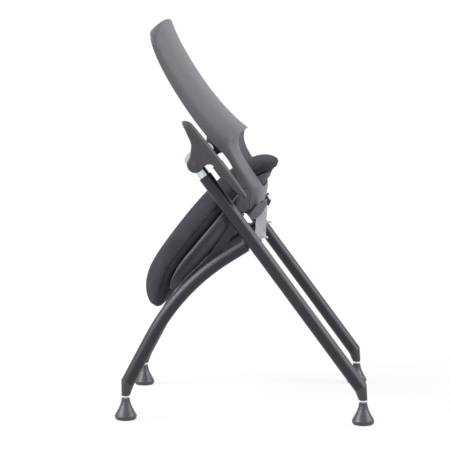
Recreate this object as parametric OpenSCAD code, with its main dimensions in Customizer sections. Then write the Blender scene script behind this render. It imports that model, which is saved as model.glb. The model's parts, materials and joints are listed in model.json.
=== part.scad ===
// Nesting chair, drawn folded for nesting: the seat and back unit stands up
// between the legs, and the armrests lie along the rear legs.
// +Z is up, the sitter faces -Y and the sitter's left is +X.
// The origin is on the floor, midway between the four feet.
// Points in a side view are pairs of Y and Z.

/* [Frame] */
// Distance from the middle of the chair to the front and rear feet, along Y
foot_reach = 280.4; // [240:0.1:320]
// Distance from the middle to the rear legs, along X
rear_track = 285; // [270:1:310]
// Distance from the middle to the front legs, along X
front_track = 243; // [240:1:250]
// Outer radius of the leg tubes
leg_r = 16; // [14:0.5:18]
// Wall of the leg tubes
leg_wall = 2; // [1.5:0.1:3]
// Slope of the rear legs above the floor, in degrees
rear_deg = 53.7; // [50:0.1:57]
// Length of the rear leg tubes
rear_leg_len = 611; // [560:1:650]
// Slope of the front legs at the foot, in degrees
front_deg = 62; // [58:0.5:66]
// Straight length at the foot of the front legs
front_straight = 132; // [100:1:160]
// Bend radius of the front legs
front_bend_r = 510; // [450:1:560]
// Angle that the front legs bend through, in degrees
front_bend_deg = 30; // [26:0.5:34]
// Length of the bare neck between the front leg and the rear leg
neck_len = 22; // [16:1:30]
// Radius of the neck
neck_r = 12; // [9:0.5:13]
// Outer radius of the tube across the front legs
cross_r = 7; // [6:0.5:8]
// Wall of the tube across the front legs
cross_wall = 1.5; // [1:0.1:2]

/* [Feet] */
// Height of each bell glide
glide_h = 53; // [40:1:65]
// Largest radius of each bell glide
glide_r = 26.5; // [20:0.5:32]
// Radius of the glide stud
stud_r = 4.7; // [3:0.1:6]
// Height of the bare stud between the glide and the ferrule
stud_gap = 5.5; // [3:0.5:9]
// Radius at the foot of each ferrule
ferrule_foot_r = 10; // [8:0.5:13]
// Height of the leg bend above the floor
elbow_h = 80.5; // [74:0.5:95]
// Length of each ferrule above the leg bend
ferrule_up = 11; // [9:0.5:16]

/* [Fold] */
// Drop from the leg joint to the pivot of the swing links
link_drop = 29.2; // [28:0.1:31]
// Backward step from the leg joint to the pivot of the swing links
link_step = 8.3; // [6:0.1:10]
// Distance between the two pivots of a swing link
link_len = 99.1; // [97:0.1:101]
// Slope of the folded swing links, in degrees
link_deg = 86.8; // [86:0.1:88]
// Width of the swing links
link_w = 17; // [14:0.5:18]
// Thickness of the swing links
link_t = 5; // [3:0.5:6]
// Distance from the middle to the inner face of the swing links
link_x = 212; // [211.5:0.1:212.5]
// Radius of the tube that joins the swing links
yoke_r = 6; // [5:0.1:6.5]
// Wall of the tube that joins the swing links
yoke_wall = 1.5; // [1:0.1:3]
// Radius of the link pivot studs
pivot_r = 5; // [3.5:0.1:6]
// Angle that the swing links turn when the chair opens, in degrees
link_turn = 108; // [104:1:110]
// Angle that the seat turns when the chair opens, in degrees
seat_turn = 43; // [42:0.5:44]

/* [Seat] */
// Length of the seat cushion
cushion_len = 461; // [430:1:480]
// Width of the seat cushion
cushion_w = 430; // [410:1:434]
// Height of the crown above the seat's datum line
cushion_t = 88; // [75:1:100]
// Overhang of the cushion in front of the seat's datum point
cushion_nose = 47; // [35:1:60]
// Slope of the folded seat, in degrees
seat_deg = 50; // [49:0.5:51]
// Distance from the seat's datum point back to the seat hinge
seat_reach = 307.7; // [305:0.1:310]
// Depth of the seat hinge below the seat's datum line
seat_depth = 36.9; // [35:0.1:39]
// Width of the seat pan
pan_w = 416; // [400:1:418]
// Depth of the pan's floor below the datum line
pan_drop = 15; // [12:0.5:16]
// Wall of the seat pan
pan_wall = 3; // [2:0.1:5]
// Thickness of the seat board
board_t = 8; // [5:0.5:10]

/* [Back] */
// Width of the back shell
back_w = 456; // [440:1:460]
// Height of the back shell
back_h = 463; // [430:1:480]
// Forward reach of the back shell's top from its foot
back_run = 219; // [205:1:225]
// Wall of the back shell
back_wall = 5; // [4:0.1:7]
// Radius of the top corners of the back shell
back_corner = 46; // [20:1:70]

/* [Arms] */
// Length of each armrest
arm_len = 231; // [210:1:250]
// Width of each armrest
arm_w = 50; // [40:1:54]
// Distance from the rear legs out to the outer side of the armrests, along X
arm_step = 37; // [32:0.5:42]
// Height of an armrest's top above its pivot
arm_h = 52.6; // [50:0.1:62]
// Radius of the arm hub
arm_hub_r = 19.5; // [17:0.5:22]
// Thickness of the arm web
arm_web = 18; // [12:0.5:22]
// Slope of the folded armrests, in degrees
arm_deg = -50.7; // [-54:0.1:-48]
// Radius of the chrome arm posts
post_r = 13.7; // [11:0.1:13.9]
// Bare length of the arm posts between leg and pivot
post_len = 35; // [30:0.5:40]

/* [Lever] */
// Half the length of the release lever
lever_half = 45; // [30:1:60]
// Radius of the lever's pivot pin
lever_pin_r = 2; // [1.5:0.1:2.2]

/* [Hidden] */
$fn = 64;

// Clearances
run_gap = 0.05;      // a turning fit, on the radius
seat_gap = 0.3;      // between soft or curved faces that lie on each other
guide_gap = 1.3;     // round the cross tube in the side plates' slots
cut = 1;             // how far a cut runs past the face it opens

// Small sizes
bend_thin = 0.1;
bend_lap = 3;
plug_len = 18;
sleeve_wall = 1.5;
sleeve_len = 14;
plate_t = 6;
plate_x = 203;
plate_edge = 3;
plate_web = 12;
plate_turn_u = 232;
plate_turn_v = 16;
plate_turn_r = 10;
plate_neck = 32;
plate_dip = 2;
plate_neck_r = 8;
plate_eye = 2;
hub_r = 10;
hub_step = 6;
bush_wall = 1.5;
bush_in = 3;
bush_len = 11;
lug_t = 7;
lug_x = 232;
lug_r = 10;
stud_head_t = 1.7;
stud_head_r = 8;
spacer_r = 9;
eye_r = link_w / 2;
hook_w = 7;
hook_len = 12;
hook_up = 36;
hook_deg = 8;
bar_w = 28;
bar_t = 10;
hub_lift = 24.3;
hub_back = 38.1;
cap_r = 12;
cap_t = 1.6;
cap_low = 18;
cap_high = 14.4;
cap_lead = 4;
bolt_r = 2.5;
bolt_head_r = 4.5;
bolt_head_t = 3;
bolt_pitch = 11;
screw_r = 2.4;
screw_head_r = 4.5;
screw_head_t = 2.4;
screw_x = 150;
board_skin = 2;
board_share = 0.27;
bumper_t = 3;
bumper_r = 6;
bumper_deg = 8;
housing_wall = 2.5;
housing_gap = 0.5;
latch_reach = 26;
cover_t = 4.7;
cover_gap = 1;
cover_step = 15.6;
cover_deg = 63;
cover_boss_r = 5;
cover_peg_r = 3;
lever_hub_r = 3.2;
lever_back = 10.2;
lever_rise = 11.5;
lever_reach = 14;
tip_t = 2.4;
ear_gap = 5;
ear_t = 6;
boss_r = 10;
pivot_cap_r = 8;
pivot_cap_t = 1.5;
knuckle_r = 18;
knuckle_up = 13;
knuckle_t = 26;
knuckle_step = 12;

// Colours
coat = [0.17, 0.17, 0.19];
plastic = [0.41, 0.41, 0.43];
dark_plastic = [0.22, 0.22, 0.24];
fabric = [0.16, 0.16, 0.18];
chrome = [0.82, 0.84, 0.87];
zinc = [0.68, 0.69, 0.71];
rubber = [0.12, 0.12, 0.13];
nylon = [0.85, 0.85, 0.82];
ply = [0.72, 0.58, 0.40];

// A point at a distance and a slope from another, in a side view
function away(p, deg, d) = p + d * [cos(deg), sin(deg)];
// A point turned about another
function turned(p, o, deg) = o + [
    (p - o)[0] * cos(deg) - (p - o)[1] * sin(deg),
    (p - o)[0] * sin(deg) + (p - o)[1] * cos(deg)
];
function bezier(p, t) = pow(1 - t, 3) * p[0] + 3 * t * pow(1 - t, 2) * p[1]
    + 3 * t * t * (1 - t) * p[2] + pow(t, 3) * p[3];

// The legs in a side view
rear_elbow = [foot_reach, elbow_h];
rear_slope = 180 - rear_deg;
rear_end = away(rear_elbow, rear_slope, ferrule_up);
rear_top = away(rear_end, rear_slope, rear_leg_len);
front_elbow = [-foot_reach, elbow_h];
front_end = away(front_elbow, front_deg, ferrule_up);
bend_start = away(front_elbow, front_deg, front_straight);
bend_centre = away(bend_start, front_deg - 90, front_bend_r);
top_deg = front_deg - front_bend_deg;
bend_end = away(bend_centre, top_deg + 90, front_bend_r);
// Where the front leg's line meets the rear leg's line
meet = (rear_elbow - bend_end) * [sin(rear_slope), -cos(rear_slope)]
    / ([cos(top_deg), sin(top_deg)] * [sin(rear_slope), -cos(rear_slope)]);
joint = away(bend_end, top_deg, meet);
front_top = away(joint, top_deg, -neck_len);

// The folding linkage
link_foot = joint + [link_step, -link_drop];
link_top = away(link_foot, link_deg, link_len);
cross_share = 0.7;
cross_deg = front_deg - cross_share * front_bend_deg;
cross_at = away(bend_centre, cross_deg + 90, front_bend_r);
sleeve_r = cross_r + sleeve_wall;
// The cross tube's place in the seat's own view, at a share of the opening
function cross_seen(t) = link_top + (turned(cross_at, away(link_foot,
    link_deg - link_turn * t, link_len), seat_turn * t)
    - away(link_foot, link_deg - link_turn * t, link_len));
slot_far_share = 0.59;
slot_far = cross_seen(slot_far_share);
slot_r = sleeve_r + guide_gap;

// The seat's own frame: u runs back along the seat and v stands off it
seat_origin = link_top - seat_reach * [cos(seat_deg), sin(seat_deg)]
    + seat_depth * [-sin(seat_deg), cos(seat_deg)];
function seat_at(u, v) = seat_origin + u * [cos(seat_deg), sin(seat_deg)]
    + v * [-sin(seat_deg), cos(seat_deg)];
function seat_point(x, u, v) = [x, seat_at(u, v)[0], seat_at(u, v)[1]];

// The back's foot
hub = link_top + [-hub_back, hub_lift];
plate_hub = hub - [hub_step, 0];
// The armrest's own frame: a runs back along the pad and b stands off it
arm_at = away(rear_top, rear_slope, post_len);
knuckle_at = away(arm_at, rear_slope, knuckle_up);
knuckle_in = rear_track - knuckle_step;
arm_out = rear_track + arm_step;
function arm_point(x, a, b) = [x,
    arm_at[0] + a * cos(arm_deg) - b * sin(arm_deg),
    arm_at[1] + a * sin(arm_deg) + b * cos(arm_deg)];

// Draws its children on both sides of the chair
module both() {
    children();
    mirror([1, 0, 0]) children();
}
// Turns a piece of the left side into one of the right side
module right_side() {
    mirror([1, 0, 0]) children();
}
// A side view drawn out along X
module slab(x, t) {
    translate([x, 0, 0]) rotate([90, 0, 90]) linear_extrude(t) children();
}
// A round bar along X
module pin(p, r, x, t) {
    translate([x, p[0], p[1]]) rotate([0, 90, 0]) cylinder(r = r, h = t);
}
// A round bar in a side view, from a point along a slope
module rod(x, p, deg, r, h) {
    translate([x, p[0], p[1]]) rotate([deg - 90, 0, 0]) cylinder(r = r, h = h);
}
// A side view with round ends
module strap(p, q, r, s) {
    hull() {
        translate(p) circle(r = r, $fn = 48);
        translate(q) circle(r = s, $fn = 48);
    }
}
// A closed skin through rings of points, with a fan at each end
module loft(rings) {
    n = len(rings[0]);
    m = len(rings);
    function middle(ring) = [for (k = [0:2]) [for (p = ring) p[k]] * [for (p = ring) 1] / n];
    points = [for (ring = rings) each ring, middle(rings[0]), middle(rings[m - 1])];
    sides = [for (i = [0:m - 2]) for (j = [0:n - 1]) each [
        [i * n + j, i * n + (j + 1) % n, (i + 1) * n + j],
        [i * n + (j + 1) % n, (i + 1) * n + (j + 1) % n, (i + 1) * n + j]
    ]];
    ends = [for (j = [0:n - 1]) each [
        [m * n, (j + 1) % n, j],
        [m * n + 1, (m - 1) * n + j, (m - 1) * n + (j + 1) % n]
    ]];
    polyhedron(points, concat(sides, ends));
}
// A half ring of shares, mirrored to a whole one
function whole(half) = concat(half, [for (k = [len(half) - 2:-1:1]) [-half[k][0], half[k][1]]]);

module rear_leg() {
    color(coat) difference() {
        rod(rear_track, rear_end, rear_slope, leg_r, rear_leg_len);
        rod(rear_track, away(rear_end, rear_slope, -cut), rear_slope,
            leg_r - leg_wall, rear_leg_len + 2 * cut);
    }
}
// The line of a front leg, at a radius: two straights and a bend between. The
// bend is a hair thinner, and the straight stretches lap over its ends
module front_bend(r) {
    translate([front_track, bend_centre[0], bend_centre[1]])
        rotate([90, 0, 90]) rotate([0, 0, top_deg + 90])
        rotate_extrude(angle = front_bend_deg, $fn = 180)
        translate([front_bend_r, 0]) circle(r = r - bend_thin, $fn = 64);
}
module front_line(r, over) {
    union() {
        rod(front_track, away(front_end, front_deg, -over), front_deg, r,
            front_straight - ferrule_up + over + bend_lap);
        front_bend(r);
        rod(front_track, away(bend_end, top_deg, -bend_lap), top_deg, r,
            meet - neck_len + over + bend_lap);
    }
}
module front_leg() {
    color(coat) difference() {
        front_line(leg_r, 0);
        front_line(leg_r - leg_wall, cut);
    }
}
module leg_joint() {
    color(coat) difference() {
        union() {
            rod(front_track, away(front_top, top_deg, -plug_len), top_deg,
                leg_r - leg_wall - seat_gap, plug_len);
            rod(front_track, front_top, top_deg, neck_r, neck_len);
            pin(joint, neck_r, lug_x, rear_track - lug_x);
            slab(lug_x, lug_t) strap(joint, link_foot, neck_r, lug_r);
        }
        rod(rear_track, away(joint, rear_slope, -leg_r * 3), rear_slope,
            leg_r, leg_r * 6);
        pin(link_foot, pivot_r + run_gap, lug_x - cut, lug_t + 2 * cut);
    }
}
module front_cross_tube() {
    half = front_track - leg_r;
    color(coat) difference() {
        pin(cross_at, cross_r, -half - leg_wall, 2 * (half + leg_wall));
        pin(cross_at, cross_r - cross_wall, -half - leg_wall - cut,
            2 * (half + leg_wall + cut));
        both() front_bend(leg_r);
    }
}
module guide_sleeves() {
    color(nylon) both() difference() {
        pin(cross_at, sleeve_r, plate_x + (plate_t - sleeve_len) / 2, sleeve_len);
        pin(cross_at, cross_r + run_gap, plate_x - sleeve_len, plate_t + 2 * sleeve_len);
    }
}
module ferrule(x, elbow, slope) {
    foot_z = glide_h + stud_gap;
    end = away(elbow, slope, ferrule_up);
    difference() {
        union() {
            hull() {
                rod(x, away(end, slope, -ferrule_up / 4), slope, leg_r, ferrule_up / 4, $fn = 32);
                translate([x, elbow[0], foot_z]) cylinder(r = ferrule_foot_r, h = cut, $fn = 32);
            }
            rod(x, end, slope, leg_r - leg_wall - seat_gap, plug_len);
        }
        translate([x, elbow[0], foot_z - cut]) cylinder(r = stud_r + run_gap, h = plug_len + cut);
    }
}
module front_ferrules() {
    color(dark_plastic) both() ferrule(front_track, front_elbow, front_deg);
}
module rear_ferrules() {
    color(dark_plastic) both() ferrule(rear_track, rear_elbow, rear_slope);
}
module glide_studs() {
    bottom = glide_h / 2;
    color(zinc) both() for (place = [[front_track, -foot_reach], [rear_track, foot_reach]])
        translate([place[0], place[1], bottom])
        cylinder(r = stud_r, h = glide_h - bottom + stud_gap + plug_len - seat_gap);
}
// Half outline of a bell glide, as shares of its radius and height
bell_shares = [
    [0.62, 0], [0.86, 0.03], [0.97, 0.10], [1, 0.20], [0.93, 0.28], [0.78, 0.41],
    [0.64, 0.54], [0.50, 0.69], [0.41, 0.84], [0.36, 1]
];
module glide(x, y) {
    color(dark_plastic) translate([x, y, 0]) difference() {
        rotate_extrude() polygon(concat([[0, 0]],
            [for (s = bell_shares) [s[0] * glide_r, s[1] * glide_h]], [[0, glide_h]]));
        translate([0, 0, glide_h / 2 - seat_gap])
            cylinder(r = stud_r + run_gap, h = glide_h);
    }
}
module arm_post() {
    color(chrome) difference() {
        union() {
            rod(rear_track, away(rear_top, rear_slope, -plug_len), rear_slope,
                post_r, plug_len + post_len + knuckle_up);
            pin(knuckle_at, knuckle_r, knuckle_in, knuckle_t);
        }
        pin(arm_at, pivot_r + run_gap, knuckle_in - cut, arm_w);
    }
}
module arm_pins() {
    color(zinc) both() {
        pin(arm_at, pivot_r, knuckle_in, arm_out - pivot_cap_t - seat_gap - knuckle_in);
    }
}
module link_studs() {
    color(zinc) both() {
        pin(link_foot, pivot_r, link_x, lug_x + lug_t - link_x);
        pin(link_foot, stud_head_r, link_x - seat_gap - stud_head_t, stud_head_t + seat_gap - run_gap);
    }
}
module link_spacers() {
    color(nylon) both() difference() {
        pin(link_foot, spacer_r, link_x + link_t + run_gap, lug_x - link_x - link_t - 2 * run_gap);
        pin(link_foot, pivot_r + run_gap, link_x, lug_x - link_x + cut);
    }
}
module link() {
    color(zinc) difference() {
        slab(link_x, link_t) strap(link_foot, link_top, eye_r, eye_r);
        pin(link_foot, pivot_r + bush_wall + run_gap, link_x - cut, link_t + 2 * cut);
    }
}
module yoke_tube() {
    color(zinc) difference() {
        pin(link_top, yoke_r, -link_x, 2 * link_x);
        pin(link_top, yoke_r - yoke_wall, -link_x - cut, 2 * (link_x + cut));
    }
}
module link_bushes() {
    color(nylon) both() difference() {
        pin(link_foot, pivot_r + bush_wall, link_x, link_t);
        pin(link_foot, pivot_r + run_gap, link_x - cut, link_t + 2 * cut);
    }
}
// Small hooks behind the links that the closed chair rests against
module stop_hooks() {
    root = away(away(link_foot, link_deg, hook_up), link_deg - 90, eye_r);
    color(zinc) both() slab(link_x, link_t) difference() {
        strap(root, away(root, link_deg - 90 - hook_deg, hook_len), hook_w / 2, hook_w / 3);
        strap(link_foot, link_top, eye_r, eye_r);
    }
}
// Outline of a side plate, before its bores. It runs along the seat, up to the
// back's foot and down again to the link's pivot
module plate_outline() {
    slot_edge = slot_r + plate_edge;
    turn = seat_at(plate_turn_u, -plate_turn_v);
    neck = link_top - [plate_neck, plate_dip];
    strap(slot_far, cross_at, slot_edge, slot_edge);
    strap(cross_at, turn, plate_web, plate_turn_r);
    strap(turn, plate_hub, plate_turn_r, hub_r + bush_wall);
    strap(plate_hub, neck, hub_r + bush_wall, plate_neck_r);
    strap(neck, link_top, plate_neck_r, yoke_r + bush_wall + plate_eye);
}
// The left side plate also carries the latch cover
module side_plate(carries) {
    color(coat) difference() {
        slab(plate_x, plate_t) {
            plate_outline();
            if (carries)
                strap(link_top, cover_at, yoke_r + bush_wall + plate_eye,
                    cover_boss_r + plate_eye);
        }
        pin(slot_far, slot_r, plate_x - cut, plate_t + 2 * cut);
        pin(cross_at, slot_r, plate_x - cut, plate_t + 2 * cut);
        slab(plate_x - cut, plate_t + 2 * cut) slot_middle();
        slab(plate_x - cut, plate_t + 2 * cut) polygon([for (s = plate_clear_shares) back_at(s)]);
        pin(link_top, yoke_r + bush_wall + run_gap, plate_x - cut, plate_t + 2 * cut);
        if (carries) pin(cover_at, cover_peg_r + run_gap, plate_x - cut, plate_t + 2 * cut);
        for (p = bolt_places()) pin(p, bolt_r + run_gap, plate_x - cut, plate_t + 2 * cut);
    }
}
// The straight part of a side plate's slot
module slot_middle() {
    run = norm(cross_at - slot_far);
    way = (cross_at - slot_far) / run;
    translate(slot_far) rotate(atan2(way[1], way[0]))
        translate([0, bend_thin - slot_r]) square([run, 2 * (slot_r - bend_thin)]);
}
function bolt_places() = [for (s = [-1, 1]) away(plate_hub, seat_deg + 90, s * bolt_pitch / 2)];
// Places of the seat's bars, as shares of the seat's reach
bar_shares = [0.492, 0.738];
bar_top = -pan_drop - seat_gap;
board_top = board_share * cushion_t - seat_gap;
// Round bars that stand off the seat at the four screws
module at_screws(r, low, high) {
    both() for (s = bar_shares) {
        p = seat_at(s * seat_reach, low);
        translate([screw_x, p[0], p[1]]) rotate([seat_deg, 0, 0])
            cylinder(r = r, h = high - low);
    }
}
module seat_bars() {
    color(coat) difference() {
        for (s = bar_shares)
            slab(-plate_x, 2 * plate_x)
                translate(seat_at(s * seat_reach - bar_w / 2, bar_top - bar_t))
                rotate(seat_deg) square([bar_w, bar_t]);
        at_screws(screw_r + run_gap, bar_top - bar_t - cut, bar_top + cut);
    }
}
module hub_blocks() {
    block_t = back_w / 2 - back_wall - cut - plate_x - plate_t;
    color(dark_plastic) both() difference() {
        pin(plate_hub, hub_r, plate_x + plate_t, block_t);
        for (p = bolt_places()) pin(p, bolt_r + run_gap, plate_x, plate_t + block_t - cut);
    }
}
module back_bolts() {
    color(zinc) both() for (p = bolt_places()) {
        pin(p, bolt_r, plate_x - bolt_head_t / 2, plate_t + bolt_pitch);
        pin(p, bolt_head_r, plate_x - bolt_head_t, bolt_head_t);
    }
}
module yoke_bushes() {
    color(nylon) both() difference() {
        pin(link_top, yoke_r + bush_wall, plate_x - bush_in, bush_len);
        pin(link_top, yoke_r + run_gap, plate_x - bush_len, 2 * bush_len);
    }
}
// Side view of the latch, from the link's pivot, as shares of its reach
latch_shares = [
    [0.34, 0.85], [0, 0.635], [-0.39, 0.31], [-0.73, -0.04], [-0.98, -0.385], [-0.99, -0.65],
    [-0.81, -0.865], [-0.54, -0.92], [-0.10, -0.605], [0.23, -0.26], [0.50, 0.21],
    [0.65, 0.5], [0.61, 0.73], [0.50, 0.85]
];
module latch_outline() {
    polygon([for (s = latch_shares) link_top + latch_reach * s]);
}
// Round the back shell, as shares of the back's run and height from the hub:
// at the side plates and under the bridge
plate_clear_shares = [
    [0.073, -0.0462], [0.136, -0.0462], [0.1453, -0.0373], [0.152, -0.020], [0.171, 0.047],
    [0.073, 0.047]
];
bridge_clear_shares = [[-0.1, -0.041], [0.207, -0.041], [0.2235, 0.01], [-0.1, 0.01]];
// A sleeve round the yoke tube with the latch block in its middle
module yoke_housing() {
    half = plate_x - bush_in;
    block = lever_half + ear_gap + ear_t;
    color(plastic) difference() {
        union() {
            pin(link_top, yoke_r + housing_gap + housing_wall, -half, 2 * half);
            slab(-block, 2 * block) latch_outline();
        }
        pin(link_top, yoke_r + housing_gap, -half - cut, 2 * (half + cut));
        slab(-half - cut, 2 * (half + cut)) polygon([for (s = bridge_clear_shares) back_at(s)]);
        slab(-lever_half - ear_gap, 2 * (lever_half + ear_gap))
            polygon([for (s = notch_shares) lever_at + lever_reach * s]);
        pin(lever_at, lever_pin_r + run_gap, -block - cut, 2 * (block + cut));
    }
}
// Cover over the yoke's left end, on a boss with a peg in the side plate
cover_at = away(link_top, cover_deg, cover_step);
module latch_cover() {
    start = link_x + link_t + cover_gap;
    color(plastic) {
        slab(start, cover_t) latch_outline();
        pin(cover_at, cover_boss_r, plate_x + plate_t, start - plate_x - plate_t + cover_t / 2);
        pin(cover_at, cover_peg_r, plate_x, plate_t + cover_boss_r);
    }
}
module lever_pin() {
    half = lever_half + ear_gap + ear_t - seat_gap;
    color(zinc) pin(lever_at, lever_pin_r, -half, 2 * half);
}
module lever_springs() {
    color(zinc) both() difference() {
        pin(lever_at, lever_hub_r - seat_gap, lever_half + seat_gap, ear_gap - 2 * seat_gap);
        pin(lever_at, lever_pin_r + run_gap, lever_half, ear_gap + cut);
    }
}
// Side views of the lever and of the housing's notch, from the lever's pivot,
// as shares of the lever's reach
lever_at = link_top + [lever_back, lever_rise];
lever_shares = [
    [-0.15, 0.14], [0.09, 0.45], [0.87, -0.21], [0.44, -1.11], [0.24, -1], [-0.16, -0.14]
];
notch_shares = [
    [-0.36, -0.21], [-0.21, -0.39], [0.07, -1.29], [1.4, -1.29], [1.4, 1.4], [-0.36, 1.4]
];
lever_high = lever_at + lever_reach * lever_shares[1];
lever_far = lever_at + lever_reach * lever_shares[2];
module release_lever() {
    color(dark_plastic) difference() {
        union() {
            pin(lever_at, lever_hub_r, -lever_half, 2 * lever_half);
            slab(-lever_half, 2 * lever_half)
                polygon([for (s = lever_shares) lever_at + lever_reach * s]);
        }
        pin(lever_at, lever_pin_r + run_gap, -lever_half - cut, 2 * (lever_half + cut));
    }
}
module lever_tip() {
    way = (lever_far - lever_high) / norm(lever_far - lever_high);
    color(chrome) slab(-lever_half, 2 * lever_half)
        translate(lever_high) rotate(atan2(way[1], way[0]))
        square([norm(lever_far - lever_high), tip_t]);
}

// Seat cushion
// Stations along the cushion: share of its length, then the underside and the
// crown as shares of its height, then the width as a share of the full width
cushion_shares = [
    [0.000, 0.13, 0.21, 0.58], [0.006, 0.03, 0.33, 0.70], [0.022, -0.07, 0.47, 0.80],
    [0.045, -0.11, 0.60, 0.875], [0.085, -0.09, 0.75, 0.935], [0.135, 0.00, 0.86, 0.975],
    [0.20, 0.16, 0.925, 0.99], [0.26, 0.235, 0.955, 0.992], [0.32, 0.27, 0.975, 0.99],
    [0.39, 0.27, 0.99, 0.986], [0.46, 0.27, 1, 0.984], [0.53, 0.27, 1, 0.986],
    [0.59, 0.27, 0.99, 0.97], [0.635, 0.27, 0.975, 0.90], [0.675, 0.27, 0.96, 0.80],
    [0.72, 0.27, 0.935, 0.755], [0.78, 0.265, 0.88, 0.745], [0.84, 0.24, 0.80, 0.74],
    [0.89, 0.16, 0.70, 0.73], [0.93, 0.05, 0.59, 0.705], [0.96, -0.03, 0.47, 0.665],
    [0.98, -0.09, 0.36, 0.60], [0.993, -0.08, 0.24, 0.53], [1.000, -0.02, 0.12, 0.44]
];
// Half section of the cushion, as shares of its half width and its height
section_shares = [
    [0, 0], [0.45, 0], [0.86, 0], [0.94, 0.05], [0.975, 0.14], [0.97, 0.24],
    [1, 0.33], [0.985, 0.46], [0.94, 0.62], [0.85, 0.77], [0.71, 0.88],
    [0.52, 0.95], [0.28, 0.985], [0, 1]
];
module seat_cushion() {
    color(fabric) loft([for (s = cushion_shares) [
        for (p = whole(section_shares)) seat_point(p[0] * s[3] * cushion_w / 2,
            s[0] * cushion_len - cushion_nose,
            (s[1] + (s[2] - s[1]) * p[1]) * cushion_t)
    ]]);
}
// Stations along the pan: share of the cushion's length, then the rim as a
// share of the cushion's height, the floor as a share of the pan's depth, and
// the width as a share of the full width
pan_shares = [
    [0.145, 0.012, -0.10, 0.80], [0.155, 0.038, -0.45, 0.88], [0.175, 0.085, -0.72, 0.93],
    [0.205, 0.150, -0.86, 0.96], [0.26, 0.225, -0.94, 0.975], [0.32, 0.255, -1, 0.98],
    [0.46, 0.258, -1, 0.98], [0.58, 0.258, -1, 0.965], [0.635, 0.258, -1, 0.88],
    [0.675, 0.258, -1, 0.78], [0.72, 0.258, -0.90, 0.735], [0.78, 0.250, -0.60, 0.725],
    [0.84, 0.222, -0.36, 0.72], [0.885, 0.150, -0.34, 0.70], [0.925, 0.045, -0.36, 0.66]
];
pan_section_shares = [
    [0, 0], [0.5, 0], [0.88, 0], [0.945, 0.06], [0.97, 0.20], [0.985, 0.55],
    [1, 1], [0.6, 1], [0, 1]
];
module pan_form(wall, lift) {
    loft([for (s = pan_shares) [
        for (p = whole(pan_section_shares)) let (
            low = s[2] * pan_drop + wall,
            high = s[1] * cushion_t + lift
        ) seat_point(p[0] * (s[3] * pan_w / 2 - wall),
            s[0] * cushion_len - cushion_nose,
            low + max(high - low, seat_gap) * p[1])
    ]]);
}
module seat_pan() {
    lead = seat_at(0, 0);
    color(dark_plastic) difference() {
        union() {
            difference() {
                pan_form(0, 0);
                intersection() {
                    pan_form(pan_wall, cut);
                    translate([-cushion_w, lead[0], lead[1]]) rotate([seat_deg, 0, 0])
                        translate([0, cushion_nose, -cushion_t])
                        cube([2 * cushion_w, seat_reach, 2 * cushion_t]);
                }
            }
            at_screws(boss_r, -pan_drop + pan_wall / 2, board_top - board_t);
        }
        at_screws(screw_r + run_gap, -pan_drop - cut, board_top);
    }
}
// The board's front and rear ends, as shares of the cushion's length
board_ends_share = [0.33, 0.62];
board_w_share = 0.88;
module seat_board() {
    ends = board_ends_share * cushion_len - [cushion_nose, cushion_nose];
    color(ply) difference() {
        slab(-pan_w * board_w_share / 2, pan_w * board_w_share)
            translate(seat_at(ends[0], board_top - board_t)) rotate(seat_deg)
            square([ends[1] - ends[0], board_t]);
        at_screws(screw_r + run_gap, board_top - board_t - cut, board_top - board_skin);
    }
}

// Back shell
// Side views of the shell, as shares of the back's run and height from the hub
function back_at(share) = hub + [share[0] * back_run, share[1] * back_h];
edge_low_shares = [[-0.11, -0.075], [-0.035, 0.016], [-0.02, 0.150], [-0.285, 0.265]];
edge_high_shares = [[-0.285, 0.265], [-0.475, 0.346], [-1.016, 0.709], [-1.008, 0.857]];
bridge_shares = [[0.20, -0.032], [0.215, -0.01], [0.235, 0.03], [0.225, 0.060]];
hidden_shares = [[0.225, 0.060], [0.14, 0.146], [-0.14, 0.254], [0, 0.349]];
middle_shares = [[0, 0.349], [-0.448, 0.509], [-0.831, 0.849], [-0.864, 0.927]];
bridge_rows = 4;
open_rows = 6;
panel_rows = 13;
open_columns = 6;
side_columns = 7;
bridge_part = 0.42;
// Share of the half width at which the opening's side lies
open_share = 0.76;
// How square the shell's plan is, low down and at its top
square_low = 4;
square_high = 2.3;
square_middle = 3.1;
all_rows = bridge_rows + open_rows + panel_rows;
low_rows = bridge_rows + open_rows;
all_columns = 2 * (open_columns + side_columns);
function row_high(i) = sin(90 * (i - low_rows) / panel_rows);
function edge_line(i) = i <= bridge_rows
    ? bezier([for (s = edge_low_shares) back_at(s)], bridge_part * i / bridge_rows)
    : i <= low_rows
    ? bezier([for (s = edge_low_shares) back_at(s)],
        bridge_part + (1 - bridge_part) * (i - bridge_rows) / open_rows)
    : bezier([for (s = edge_high_shares) back_at(s)], row_high(i));
function middle_line(i) = i <= bridge_rows
    ? bezier([for (s = bridge_shares) back_at(s)], i / bridge_rows)
    : i <= low_rows
    ? bezier([for (s = hidden_shares) back_at(s)], (i - bridge_rows) / open_rows)
    : bezier([for (s = middle_shares) back_at(s)], row_high(i));
// The half width narrows round the top corners
corner_from = 0.82;
corner_share = 0.98;
function half_width(i) = let (s = i <= low_rows ? 0
    : max(0, (row_high(i) - corner_from) / (1 - corner_from)))
    back_w / 2 - back_corner * (1 - sqrt(1 - s * s * corner_share));
function squareness(i) = i <= low_rows
    ? square_low - (square_low - square_middle) * max(0, (i - bridge_rows) / open_rows)
    : square_middle - (square_middle - square_high) * row_high(i);
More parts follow.
